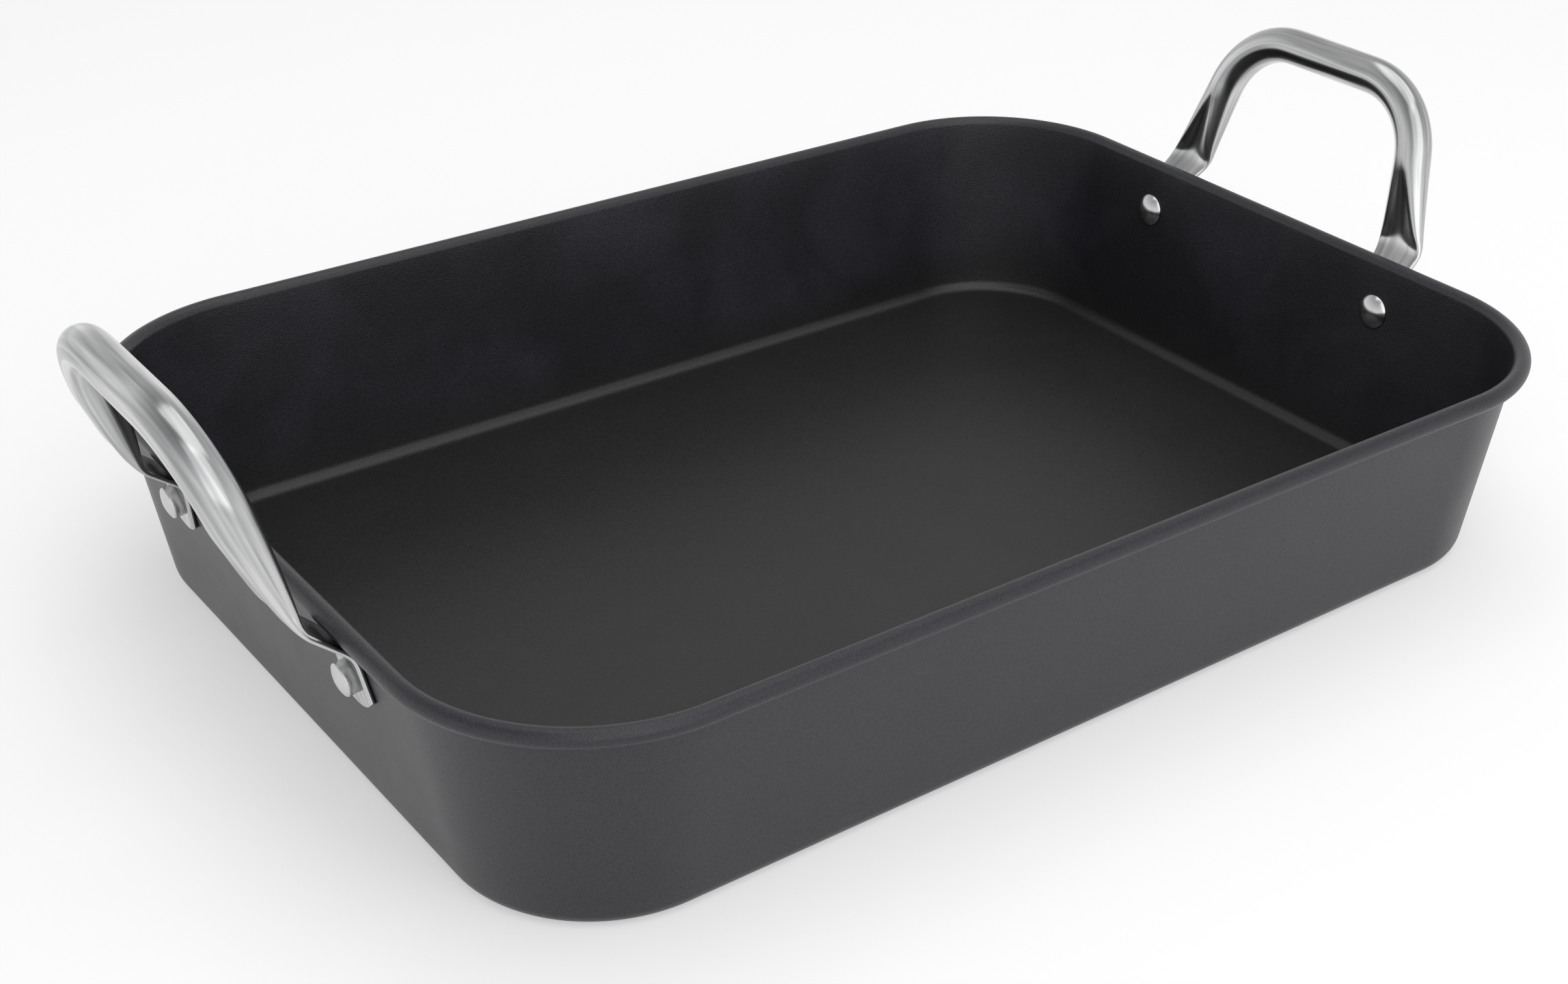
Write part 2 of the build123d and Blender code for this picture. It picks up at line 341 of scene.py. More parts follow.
def surface_grain():
    """Shader group: fine bumps of one width, as on a sprayed coat or a satin metal."""
    tree, given, result = new_group(
        "Surface Grain",
        [("Vector", VECTOR, None), ("Width", FLOAT, 0.0006)],
        [("Height", FLOAT), ("Mask", FLOAT)],
    )
    per_metre = calculate(tree, "DIVIDE", 1.0, given["Width"])
    fine = add_node(
        tree, "ShaderNodeTexNoise",
        {"Vector": given["Vector"], "Scale": per_metre, "Detail": 2.0, "Roughness": 0.6},
    ).outputs["Fac"]
    bumps = add_node(
        tree, "ShaderNodeTexVoronoi", {"Vector": given["Vector"], "Scale": per_metre},
        feature="SMOOTH_F1",
    ).outputs["Distance"]
    tree.links.new(calculate(tree, "ADD", fine, bumps), result["Height"])
    tree.links.new(spread(tree, fine, 0.0, 1.0, *GRAIN_RANGE), result["Mask"])
    return tree


def soft_marks():
    """Shader group: soft cloudy patches, from wiping and from the sheet's slow waves, and the coat walls'
    patches that are partly painted sheen.
    """
    tree, given, result = new_group(
        "Soft Marks",
        [("Vector", VECTOR, None), ("Width", FLOAT, 0.03), ("Contrast", FLOAT, 1.0)],
        [("Mask", FLOAT)],
    )
    per_metre = calculate(tree, "DIVIDE", 1.0, given["Width"])
    clouds = add_node(
        tree, "ShaderNodeTexNoise",
        {"Vector": given["Vector"], "Scale": per_metre, "Detail": 3.0, "Distortion": 0.4},
    ).outputs["Fac"]
    centred = calculate(tree, "SUBTRACT", clouds, 0.5)
    wide = calculate(tree, "MULTIPLY", centred, given["Contrast"])
    tree.links.new(calculate(tree, "ADD", wide, 0.5), result["Mask"])
    return tree


def polish_lines():
    """Shader group: fine lines that a polishing belt leaves along the first coordinate."""
    tree, given, result = new_group(
        "Polish Lines",
        [("Vector", VECTOR, None), ("Line Length", FLOAT, 0.025), ("Line Width", FLOAT, 0.0003)],
        [("Height", FLOAT)],
    )
    parts = add_node(tree, "ShaderNodeSeparateXYZ", {"Vector": given["Vector"]}).outputs
    along = calculate(tree, "DIVIDE", parts["X"], given["Line Length"])
    across = calculate(tree, "DIVIDE", parts["Y"], given["Line Width"])
    stretched = add_node(tree, "ShaderNodeCombineXYZ", {"X": along, "Y": across})
    lines = add_node(
        tree, "ShaderNodeTexNoise",
        {"Vector": stretched.outputs["Vector"], "Scale": 1.0, "Detail": 2.0},
    )
    tree.links.new(lines.outputs["Fac"], result["Height"])
    return tree


def effect(tree, make, inputs):
    """Places an effect's group, made the first time that it is wanted, with its own values."""
    name = make.__name__.replace("_", " ").title()
    group = bpy.data.node_groups.get(name) or make()
    node = tree.nodes.new("ShaderNodeGroup")
    node.node_tree = group
    for label, value in inputs.items():
        fill_input(tree, node.inputs[label], value)
    return node.outputs


def bump(tree, height, depth, normal=None):
    """A normal that follows a height between 0 and 1 over a depth."""
    inputs = {"Height": height, "Distance": depth, "Strength": 1.0}
    if normal is not None:
        inputs["Normal"] = normal
    return add_node(tree, "ShaderNodeBump", inputs).outputs["Normal"]


def new_material(name):
    """A material with a bare Principled BSDF: the material, its tree and the shader's inputs."""
    material = bpy.data.materials.new(name)
    material.use_nodes = True
    tree = material.node_tree
    tree.nodes.clear()
    shader = tree.nodes.new("ShaderNodeBsdfPrincipled")
    output = tree.nodes.new("ShaderNodeOutputMaterial")
    tree.links.new(shader.outputs["BSDF"], output.inputs["Surface"])
    return material, tree, shader.inputs


def coat_material():
    """The pan's coat: a dark satin film with a fine grain, over a sheet with slow waves. On the inner walls
    its colour is partly painted sheen, as a bluish tint and lighter bluish patches.
    """
    finish = settings().finish
    material, tree, shader = new_material("Non-stick Coat")
    spot = add_node(tree, "ShaderNodeTexCoord").outputs["Object"]
    inside = add_node(tree, "ShaderNodeAttribute", attribute_name=INSIDE).outputs["Fac"]
    grain = effect(tree, surface_grain, {"Vector": spot, "Width": finish.grain_width})
    wiped = effect(tree, soft_marks, {"Vector": spot, "Width": finish.wave_width / 2})
    waves = effect(tree, soft_marks, {"Vector": spot, "Width": finish.wave_width})

    height = add_node(tree, "ShaderNodeSeparateXYZ", {"Vector": spot}).outputs["Z"]
    on_wall = spread(tree, height, 0.0, 1.0, finish.wall_low, finish.wall_high)
    # Patches of lighter bluish colour: partly uneven coat tone, partly painted sheen
    patchy = effect(
        tree, soft_marks,
        {"Vector": spot, "Width": finish.patch_width, "Contrast": finish.patch_contrast},
    )
    patches = spread(tree, patchy["Mask"], 0.0, finish.patch_strength, *PATCH_RANGE)
    # Wall colour: the coat's tone with a bluish painted sheen, lifted in lighter patches
    wall = blend_colours(tree, patches, tuple(finish.coat_walls_and_sheen), tuple(finish.coat_tone_and_sheen_patch))
    inner = blend_colours(tree, on_wall, tuple(finish.coat_floor), wall)
    base = blend_colours(tree, inside, tuple(finish.coat_outside), inner)
    brightness = spread(tree, grain["Mask"], 1.0 - finish.speckle, 1.0 + finish.speckle)
    speckled = scaled(tree, base, brightness)
    tree.links.new(speckled, shader["Base Color"])
    rough, wear = finish.coat_roughness, finish.coat_wear
    tree.links.new(spread(tree, wiped["Mask"], rough - wear, rough + wear), shader["Roughness"])
    slow = bump(tree, waves["Mask"], finish.wave_depth)
    tree.links.new(bump(tree, grain["Height"], finish.grain_depth, slow), shader["Normal"])
    return material


def tube_material():
    """Polished stainless tube with faint lines along it, soft wiping marks, and darker streaks along it that
    are partly rubbed steel and partly painted dark reflection.
    """
    finish = settings().finish
    material, tree, shader = new_material("Polished Stainless Tube")
    spot = add_node(tree, "ShaderNodeTexCoord").outputs
    wiped = effect(tree, soft_marks, {"Vector": spot["Object"], "Width": finish.smear_width})
    lines = effect(tree, polish_lines, {"Vector": spot["UV"]})
    shader["Metallic"].default_value = 1.0
    long_lines = {"Line Length": finish.streak_length, "Line Width": finish.streak_width}
    streaks = effect(tree, polish_lines, {"Vector": spot["UV"], **long_lines})
    # Darker streaks along the tube: partly rubbed steel, partly painted dark reflection
    rubbed_and_dark_reflection = spread(tree, streaks["Height"], 0.0, 1.0, *STREAK_RANGE)
    tint = blend_colours(tree, rubbed_and_dark_reflection, tuple(finish.steel_dull_and_reflection), tuple(finish.steel))
    tree.links.new(tint, shader["Base Color"])
    worn = [finish.steel_roughness + change for change in WORN_RANGE]
    tree.links.new(spread(tree, wiped["Mask"], *worn), shader["Roughness"])
    tree.links.new(bump(tree, lines["Height"], finish.polish_depth), shader["Normal"])
    return material


def rivet_material():
    """Stainless rivet, polished on its head and satin on the tail that was set."""
    finish = settings().finish
    material, tree, shader = new_material("Stainless Rivet")
    spot = add_node(tree, "ShaderNodeTexCoord").outputs["Object"]
    tail = add_node(tree, "ShaderNodeAttribute", attribute_name=TAIL).outputs["Fac"]
    wiped = effect(
        tree, soft_marks,
        {"Vector": spot, "Width": finish.rivet_smear_width, "Contrast": finish.rivet_contrast},
    )
    grain = effect(tree, surface_grain, {"Vector": spot, "Width": finish.pit_width})
    shader["Metallic"].default_value = 1.0
    brightness = spread(tree, wiped["Mask"], *RIVET_TINT_RANGE)
    tint = scaled(tree, tuple(finish.steel), brightness)
    tree.links.new(tint, shader["Base Color"])
    plain = spread(tree, tail, finish.steel_roughness, finish.tail_roughness)
    worn = spread(tree, wiped["Mask"], *WORN_RANGE)
    tree.links.new(calculate(tree, "ADD", plain, worn), shader["Roughness"])
    pits = calculate(tree, "MULTIPLY", grain["Height"], tail)
    tree.links.new(bump(tree, pits, finish.grain_depth), shader["Normal"])
    return material


# Meshes

def plain_piece(name, points, faces=(), edges=()):
    """A mesh object at the origin, linked to the scene."""
    mesh = bpy.data.meshes.new(name)
    mesh.from_pydata([tuple(point) for point in points], list(edges), list(faces))
    mesh.update()
    piece = bpy.data.objects.new(name, mesh)
    bpy.context.scene.collection.objects.link(piece)
    return piece


def section_piece(name, points, attribute, shares):
    """A section drawn as an open line of edges, with a value at each point."""
    edges = [(number, number + 1) for number in range(len(points) - 1)]
    piece = plain_piece(name, [(point.x, point.y, 0.0) for point in points], edges=edges)
    field = piece.data.attributes.new(attribute, "FLOAT", "POINT")
    field.data.foreach_set("value", shares)
    return piece


def check_closed(piece):
    """Stops if a seam of the piece is open or its faces point inward."""
    skin = bmesh.new()
    skin.from_mesh(piece.data)
    open_edges = sum(1 for edge in skin.edges if not edge.is_manifold)
    volume = skin.calc_volume(signed=True)
    skin.free()
    if open_edges or volume <= 0.0:
        raise RuntimeError(f"{piece.name} has {open_edges} open edges and a volume of {volume}")


def arc(centre, radius, start, sweep, steps):
    """Points along an arc, from a start angle over a sweep."""
    turns = [start + sweep * number / steps for number in range(steps + 1)]
    return [centre + radius * Vector((math.cos(turn), math.sin(turn))) for turn in turns]


def straight(start, end, steps):
    """Points between two others, with both ends left out."""
    return [start.lerp(end, number / steps) for number in range(1, steps)]


def new_geometry_tree(name, inputs):
    """A geometry tree with a Geometry input and output, and named inputs for its sizes."""
    tree = bpy.data.node_groups.new(name, "GeometryNodeTree")
    tree.interface.new_socket("Geometry", in_out="INPUT", socket_type="NodeSocketGeometry")
    for label, kind in inputs:
        tree.interface.new_socket(label, in_out="INPUT", socket_type=kind)
    tree.interface.new_socket("Geometry", in_out="OUTPUT", socket_type="NodeSocketGeometry")
    return tree, tree.nodes.new("NodeGroupInput").outputs, tree.nodes.new("NodeGroupOutput").inputs


def step(tree, kind, geometry, inputs=None, **fields):
    """Adds a geometry node, feeds it through its first input and gives its first output."""
    node = add_node(tree, kind, inputs, **fields)
    tree.links.new(geometry, node.inputs[0])
    return node.outputs[0]


def finish_tree(tree, geometry, given, result):
    """Ends a tree with real instances, closed seams, smooth shading and the material."""
    real = step(tree, "GeometryNodeRealizeInstances", geometry)
    closed = step(tree, "GeometryNodeMergeByDistance", real, {"Distance": given["Merge Distance"]})
    smooth = step(tree, "GeometryNodeSetShadeSmooth", closed)
    dressed = step(tree, "GeometryNodeSetMaterial", smooth, {"Material": given["Material"]})
    tree.links.new(dressed, result["Geometry"])


def grow(piece, tree, values):
    """Runs a geometry tree on a piece and leaves the result as the piece's plain mesh."""
    modifier = piece.modifiers.new(tree.name, "NODES")
    modifier.node_group = tree
    for item in tree.interface.items_tree:
        if item.in_out == "INPUT" and item.name in values:
            modifier[item.identifier] = values[item.name]
    bpy.context.view_layer.update()
    seen = piece.evaluated_get(bpy.context.evaluated_depsgraph_get())
    grown = bpy.data.meshes.new_from_object(seen)
    piece.modifiers.remove(modifier)
    drawn = piece.data
    piece.data = grown
    bpy.data.meshes.remove(drawn)
    grown.name = piece.name


def take_place(piece, slot, *nodes):
    """Lets a closed piece ride on the body and stand for its nodes."""
    check_closed(piece)
    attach(piece, BODY)
    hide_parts(*nodes)


# Shell

def wall_top(shell):
    """Top of a wall's outer face: X inward of the rim's outermost line, and height."""
    bead = shell.bead_diameter / 2
    return Vector((
        -bead - (bead - shell.sheet) * math.cos(shell.wall_draft),
        shell.height - bead + (bead - shell.sheet) * math.sin(shell.wall_draft),
    ))


def wall_face(shell, height):
    """X of the right wall's outer face at a height."""
    top = wall_top(shell)
    return shell.rim_length / 2 + top.x + (height - top.y) * math.tan(shell.wall_draft)


def shell_section(shell):
    """Section of the sheet from the food's side of the floor, over the rim, to the underside.

    X runs outward from the rim's outermost line and Y upward. A share of 1 marks the points
    that face the food.
    """
    draft = shell.wall_draft
    bead = shell.bead_diameter / 2
    bead_centre = Vector((-bead, shell.height - bead))
    outside_top = wall_top(shell)
    fillet = shell.floor_fillet + shell.sheet
    fillet_run = (fillet - (fillet - outside_top.y) * math.sin(draft)) / math.cos(draft)
    fillet_centre = Vector((outside_top.x - fillet_run, fillet))
    fillet_turn = math.pi / 2 - draft

    # The roll's free edge is rounded, and its middle lies half a sheet short of the curl's end
    roll_start = math.pi - draft
    gap_share = (bead - shell.sheet - shell.curl_gap) / bead
    edge_round = shell.sheet / 2
    curl = 2 * math.pi - math.acos(gap_share) - edge_round / bead
    edge_turn = roll_start - curl
    edge_ray = Vector((math.cos(edge_turn), math.sin(edge_turn)))
    edge_centre = bead_centre + (bead - edge_round) * edge_ray

    inner_fillet = arc(
        fillet_centre, shell.floor_fillet, -math.pi / 2, fillet_turn, shell.fillet_steps
    )
    roll = arc(bead_centre, bead, roll_start, -curl, shell.roll_steps)
    edge = arc(edge_centre, edge_round, edge_turn, -math.pi, shell.fillet_steps)
    roll_back = arc(bead_centre, bead - shell.sheet, edge_turn, curl, shell.roll_steps)
    outer_fillet = arc(fillet_centre, fillet, -draft, -fillet_turn, shell.fillet_steps)

    food_side = inner_fillet + straight(inner_fillet[-1], roll[0], shell.wall_steps) + roll[:1]
    far_side = roll[1:] + edge[1:-1] + roll_back
    far_side += straight(roll_back[-1], outer_fillet[0], shell.wall_steps) + outer_fillet
    return food_side + far_side, [1.0] * len(food_side) + [0.0] * len(far_side)


def pressed_shell_tree():
    """Sweeps a section round a rounded oblong and fills both faces of the floor."""
    tree, given, result = new_geometry_tree(
        "Pressed Shell",
        [
            ("Length", FLOAT), ("Width", FLOAT), ("Corner Radius", FLOAT), ("Corner Steps", COUNT),
            ("Path Step", FLOAT), ("Floor Inset", FLOAT), ("Sheet", FLOAT),
            ("Merge Distance", FLOAT), ("Material", MATERIAL),
        ],
    )
    oblong = add_node(
        tree, "GeometryNodeCurvePrimitiveQuadrilateral",
        {"Width": given["Length"], "Height": given["Width"]},
    ).outputs["Curve"]
    rounded = step(
        tree, "GeometryNodeFilletCurve", oblong,
        {"Count": given["Corner Steps"], "Radius": given["Corner Radius"]}, mode="POLY",
    )
    even = step(
        tree, "GeometryNodeResampleCurve", rounded, {"Length": given["Path Step"]}, mode="LENGTH"
    )
    path = step(tree, "GeometryNodeSetCurveNormal", even, mode="Z_UP")
    section = step(tree, "GeometryNodeMeshToCurve", given["Geometry"])
    walls = step(tree, "GeometryNodeCurveToMesh", path, {"Profile Curve": section})

    outward = add_node(tree, "GeometryNodeInputNormal").outputs["Normal"]
    inset = scaled(tree, outward, given["Floor Inset"])
    floor_line = step(tree, "GeometryNodeSetPosition", path, {"Offset": inset})
    flat = step(tree, "GeometryNodeFillCurve", floor_line, mode="NGONS")
    lift = add_node(tree, "ShaderNodeCombineXYZ", {"Z": given["Sheet"]}).outputs["Vector"]
    raised = step(tree, "GeometryNodeSetPosition", flat, {"Offset": lift})
    food_face = step(
        tree, "GeometryNodeStoreNamedAttribute", raised, {"Name": INSIDE, "Value": 1.0}
    )
    underside = step(tree, "GeometryNodeFlipFaces", flat)
    joined = tree.nodes.new("GeometryNodeJoinGeometry")
    for part in (underside, food_face, walls):
        tree.links.new(part, joined.inputs["Geometry"])
    finish_tree(tree, joined.outputs["Geometry"], given, result)
    return tree


class ROASTING_PAN_OT_shell(bpy.types.Operator):
    """Makes the pressed shell with its leaning walls, rolled rim and coat"""

    bl_idname = "roasting_pan.shell"
    bl_label = "Pressed Shell"

    def execute(self, context):
        shell = settings().shell
        points, shares = shell_section(shell)
        # A curve's own second axis points down where its normal is level
        turned = [Vector((point.x, -point.y)) for point in points]
        piece = section_piece("pan_shell", turned, INSIDE, shares)
        grow(
            piece, pressed_shell_tree(),
            {
                "Length": shell.rim_length,
                "Width": shell.rim_width,
                "Corner Radius": shell.corner_radius,
                "Corner Steps": shell.corner_steps,
                "Path Step": shell.path_step,
                "Floor Inset": points[0].x,
                "Sheet": shell.sheet,
                "Merge Distance": shell.sheet * MERGE_SHARE,
                "Material": coat_material(),
            },
        )
        take_place(piece, "coated_sheet", "pan_body")
        return {"FINISHED"}


# Handles

def pressed_width(handle, thickness):
    """Width of the tube where it is pressed to a thickness and keeps its girth."""
    return thickness + handle.tube_flat + math.pi * (handle.tube_diameter - thickness) / 2


def arm_corners():
    """Corners of the right handle's back half: tab end, two strap bends, grip corner, grip middle."""
    shell, handle, rivet = settings().shell, settings().handle, settings().rivet
    lean = math.cos(shell.wall_draft)
    bead = shell.bead_diameter / 2
    half_strap = handle.tube_wall
    seat = (rivet.seat + half_strap) / lean
    rivet_height = shell.height - handle.strap_drop - handle.tab_rise * lean
    rim = shell.rim_length / 2

    def tab_point(distance):
        height = rivet_height + distance * lean
        return Vector((wall_face(shell, height) + seat, 0.0, height))

    tab_end = tab_point(-handle.tab_drop)
    strap_bend = tab_point(handle.tab_rise)
    # The strap steps outward on the line that just clears the rim's roll
    to_bead = Vector((rim - bead, 0.0, shell.height - bead)) - strap_bend
    kept_off = bead + handle.strap_clearance + half_strap
    step_angle = math.atan2(to_bead.x, to_bead.z) + math.asin(kept_off / to_bead.length)
    shoulder_x = rim + handle.shoulder_reach
    shoulder_z = strap_bend.z + (shoulder_x - strap_bend.x) / math.tan(step_angle)
    grip_z = shell.height + handle.grip_rise
    corners = [
        tab_end, strap_bend, Vector((shoulder_x, 0.0, shoulder_z)),
        Vector((rim + handle.grip_reach, 0.0, grip_z)),
    ]
    # Seen along X, the tab, the strap and the arm lie on one straight line
    splay = (rivet.spacing - handle.grip_span) / 2 / (grip_z - rivet_height)
    for corner in corners:
        corner.y = handle.grip_span / 2 + (grip_z - corner.z) * splay
    return corners + [Vector((corners[-1].x, 0.0, grip_z))]


def rounded_line(corners, radii, spacing):
    """Even points along a line with rounded corners, and the lengths at which its stretches end."""
    stretches = []
    start = corners[0]
    for before, corner, after, radius in zip(corners, corners[1:], corners[2:], radii):
        back = (before - corner).normalized()
        ahead = (after - corner).normalized()
        half = back.angle(ahead) / 2
        cut = radius / math.tan(half)
        centre = corner + (back + ahead).normalized() * (radius / math.sin(half))
        stretches.append((start, corner + back * cut, None))
        stretches.append((corner + back * cut, corner + ahead * cut, centre))
        start = corner + ahead * cut
    stretches.append((start, corners[-1], None))

    points = [corners[0]]
    ends = []
    done = 0.0
    for first, last, centre in stretches:
        if centre is None:
            reach = (last - first).length
        else:
            radius = (first - centre).length
            reach = (first - centre).angle(last - centre) * radius
        steps = max(1, round(reach / spacing))
        for number in range(1, steps + 1):
            if centre is None:
                points.append(first.lerp(last, number / steps))
            else:
                ray = (first - centre).slerp(last - centre, number / steps)
                points.append(centre + ray.normalized() * radius)
        done += reach
        ends.append(done)
    return points, ends


def across_middle(point):
    """The front half's point that answers a point of the back half."""
    return Vector((point.x, -point.y, point.z))


def press_state(handle, distance, ends, arm_top):
    """Width, thickness, share of the full tube and hollow at a distance from the tab's end."""
    flat = 2 * handle.tube_wall
    tab_length, press_start = ends[0], ends[3]
    if distance < press_start:
        share = max(0.0, distance - tab_length) / (press_start - tab_length)
        width = handle.tab_width + (pressed_width(handle, flat) - handle.tab_width) * share
        return width, flat, 0.0, 0.0
    share = min(1.0, (distance - press_start) / (arm_top - press_start))
    thickness = flat + (handle.tube_diameter - flat) * share ** handle.swell_power
    hollow = handle.groove_depth * math.sin(math.pi * math.sqrt(share))
    return pressed_width(handle, thickness), thickness, share, hollow


def slot_outline(width, thickness, hollow, quarter_steps, flat_steps):
    """Points round a section with two hollowed flats and two round sides."""
    radius = thickness / 2
    middle = Vector(((width - thickness) / 2, 0.0))
    quarter = arc(middle, radius, 0.0, math.pi / 2, quarter_steps)
    far_quarter = [Vector((-point.x, point.y)) for point in reversed(quarter)]
    upper = quarter + straight(quarter[-1], far_quarter[0], flat_steps) + far_quarter
    for point in upper:
        # The hollow runs out half a radius past each end of the flat
        across = min(1.0, abs(point.x) / (middle.x + radius / 2))
        point.y -= hollow * math.cos(across * math.pi / 2) ** 2
    lower = [Vector((point.x, -point.y)) for point in reversed(upper[1:-1])]
    return upper + lower


def tube_rows(handle):
    """Rings of points along the right handle's back half, and their distances from the tab's end."""
    corners = arm_corners()
    radii = (handle.strap_bend_radius, handle.shoulder_bend_radius, handle.grip_bend_radius)
    points, ends = rounded_line(corners, radii, handle.line_step)
    arm_top = ends[4] - handle.arm_lead
    side = Vector((0.0, 1.0, 0.0))
    distances = [0.0]
    for before, after in zip(points, points[1:]):
        distances.append(distances[-1] + (after - before).length)
    longer = ends[-1] / distances[-1]

    rounded = handle.tab_end_radius
    steps = (handle.quarter_steps, handle.flat_steps)
    rings = []
    through = None
    for number, (point, walked) in enumerate(zip(points, distances)):
        ahead = points[number + 1] if number + 1 < len(points) else across_middle(points[-2])
        behind = points[number - 1] if number else point * 2 - ahead
        along = (ahead - behind).normalized()
        distance = walked * longer
        if distance < arm_top:
            through = along.cross(side).normalized()
        width, thickness, share, hollow = press_state(handle, distance, ends, arm_top)
        square = through.cross(along).normalized()
        across = square.lerp(side, 1.0 - share).normalized()
        if share < 1.0:
            width /= across.dot(square)
        reach = max(0.0, 1.0 - walked / handle.end_reach)
        ring = []
        for offset in slot_outline(width, thickness, hollow, *steps):
            out = min(abs(offset.x * across.dot(square)), rounded)
            cut = rounded - math.sqrt(rounded ** 2 - out ** 2) - offset.x * across.dot(along)
            ring.append(point + across * offset.x + through * offset.y + along * (cut * reach))
        rings.append(ring)
    return rings, distances


def softened(rings, reach):
    """The rings, each averaged with its neighbours along the tube, so that no bend has a kink."""
    soft = []
    for number in range(len(rings)):
        room = min(reach, number, len(rings) - 1 - number)
        near = rings[number - room:number + room + 1]
        sums = [sum(points, Vector((0.0, 0.0, 0.0))) for points in zip(*near)]
        soft.append([total / len(near) for total in sums])
    return soft


def cut_end(rings, distances, handle):
    """Rounds the edge of the tab's cut end with a few rings that draw in towards its middle."""
    first, second = rings[0], rings[1]
    along = (second[0] - first[0]).normalized()
    middle = sum(first, Vector((0.0, 0.0, 0.0))) / len(first)
    added = []
    for number in range(handle.edge_steps):
        turn = math.pi / 2 * number / handle.edge_steps
        inset = handle.cut_edge * (1.0 - math.sin(turn))
        sunk = handle.cut_edge * (1.0 - math.cos(turn))
        ring = []
        for index, point in enumerate(first):
            twin = first[-index] if index else first[0]
            rib = (point + twin) / 2
            toward = rib - point if (rib - point).length > inset else middle - point
            ring.append(point + toward.normalized() * inset + along * sunk)
        added.append(ring)
    moved = [point + along * handle.cut_edge for point in first]
    return added + [moved] + rings[1:], [0.0] * handle.edge_steps + distances


def handle_mesh(name, handle, toward):
    """A whole handle, on the right for a toward of 1 and on the left for -1."""
    rings, distances = tube_rows(handle)
    rings = softened(rings, round(handle.line_blend / handle.line_step))
    rings, distances = cut_end(rings, distances, handle)
    whole = rings + [[across_middle(point) for point in ring] for ring in reversed(rings[:-1])]
    total = 2 * distances[-1]
    walked = distances + [total - distance for distance in reversed(distances[:-1])]
    size = len(rings[0])
    points = [Vector((point.x * toward, point.y, point.z)) for ring in whole for point in ring]

    faces = []
    for row in range(len(whole) - 1):
        for column in range(size):
            following = (column + 1) % size
            here, there = row * size, (row + 1) * size
            faces.append((here + column, here + following, there + following, there + column))
    last = (len(whole) - 1) * size
    for start, turned in ((0, True), (last, False)):
        for column in range(size // 2):
            corners = [column, column + 1, size - column - 1, (size - column) % size]
            cap = [start + corner for corner in dict.fromkeys(corners)]
            faces.append(tuple(reversed(cap)) if turned else tuple(cap))
    if toward < 0:
        faces = [tuple(reversed(face)) for face in faces]
    piece = plain_piece(name, points, faces)

    # The first coordinate runs along the tube and the second round it, both in metres
    girth = math.pi * handle.tube_diameter
    chart = piece.data.uv_layers.new(name="tube")
    for polygon in piece.data.polygons:
        columns = [piece.data.loops[loop].vertex_index % size for loop in polygon.loop_indices]
        wraps = max(columns) == size - 1 and min(columns) == 0
        for loop, column in zip(polygon.loop_indices, columns):
            row = piece.data.loops[loop].vertex_index // size
            turn = size if wraps and column == 0 else column
            chart.data[loop].uv = (walked[row], girth * turn / size)
    piece.data.polygons.foreach_set("use_smooth", [True] * len(piece.data.polygons))
    return piece


class ROASTING_PAN_OT_handles(bpy.types.Operator):
    """Makes the two handles, bent from tube with their ends pressed flat"""

    bl_idname = "roasting_pan.handles"
    bl_label = "Handles"

    def execute(self, context):
        material = tube_material()
        for side, toward in (("right", 1.0), ("left", -1.0)):
            piece = handle_mesh("handle_tube_" + side, settings().handle, toward)
            piece.data.materials.append(material)
            take_place(piece, "handle_steel", "handle_" + side)
        return {"FINISHED"}


# Rivets

def rivet_section(rivet, flat, sheet):
    """Half section of a rivet from the dome's top to the tail's middle, with marks on the tail.

    X is the distance from the axis and Y runs outward from the wall's outer face.
    """
    tail_seat = flat + 2 * rivet.seat
    tail_top = tail_seat + rivet.tail_height
    head = rivet.head_diameter / 2
    tail = rivet.tail_diameter / 2
    shank = rivet.shank_diameter / 2

    dome_radius = (head ** 2 + rivet.head_rise ** 2) / (2 * rivet.head_rise)
    dome_centre = Vector((0.0, -sheet - rivet.head_rise + dome_radius))
    dome_turn = math.asin(head / dome_radius)
    dome = arc(dome_centre, dome_radius, -math.pi / 2, dome_turn, rivet.dome_steps)

    crown_radius = (tail ** 2 + rivet.tail_crown ** 2) / (2 * rivet.tail_crown)
    crown_centre = Vector((0.0, tail_top - crown_radius))
    # The tail's rim is rounded between its straight side and its crown
    edge = rivet.tail_edge
    edge_x = tail - edge
    edge_z = crown_centre.y + math.sqrt((crown_radius - edge) ** 2 - edge_x ** 2)
    edge_turn = math.atan2(edge_z - crown_centre.y, edge_x)
    rim = arc(Vector((edge_x, edge_z)), edge, 0.0, edge_turn, rivet.dome_steps // 2)
    crown = arc(crown_centre, crown_radius, edge_turn, math.pi / 2 - edge_turn, rivet.dome_steps)

    below = dome + [Vector((shank, -sheet)), Vector((shank, tail_seat))]
    above = [Vector((tail, tail_seat))] + rim + crown[1:]
    return below + above, [0.0] * len(below) + [1.0] * len(above)


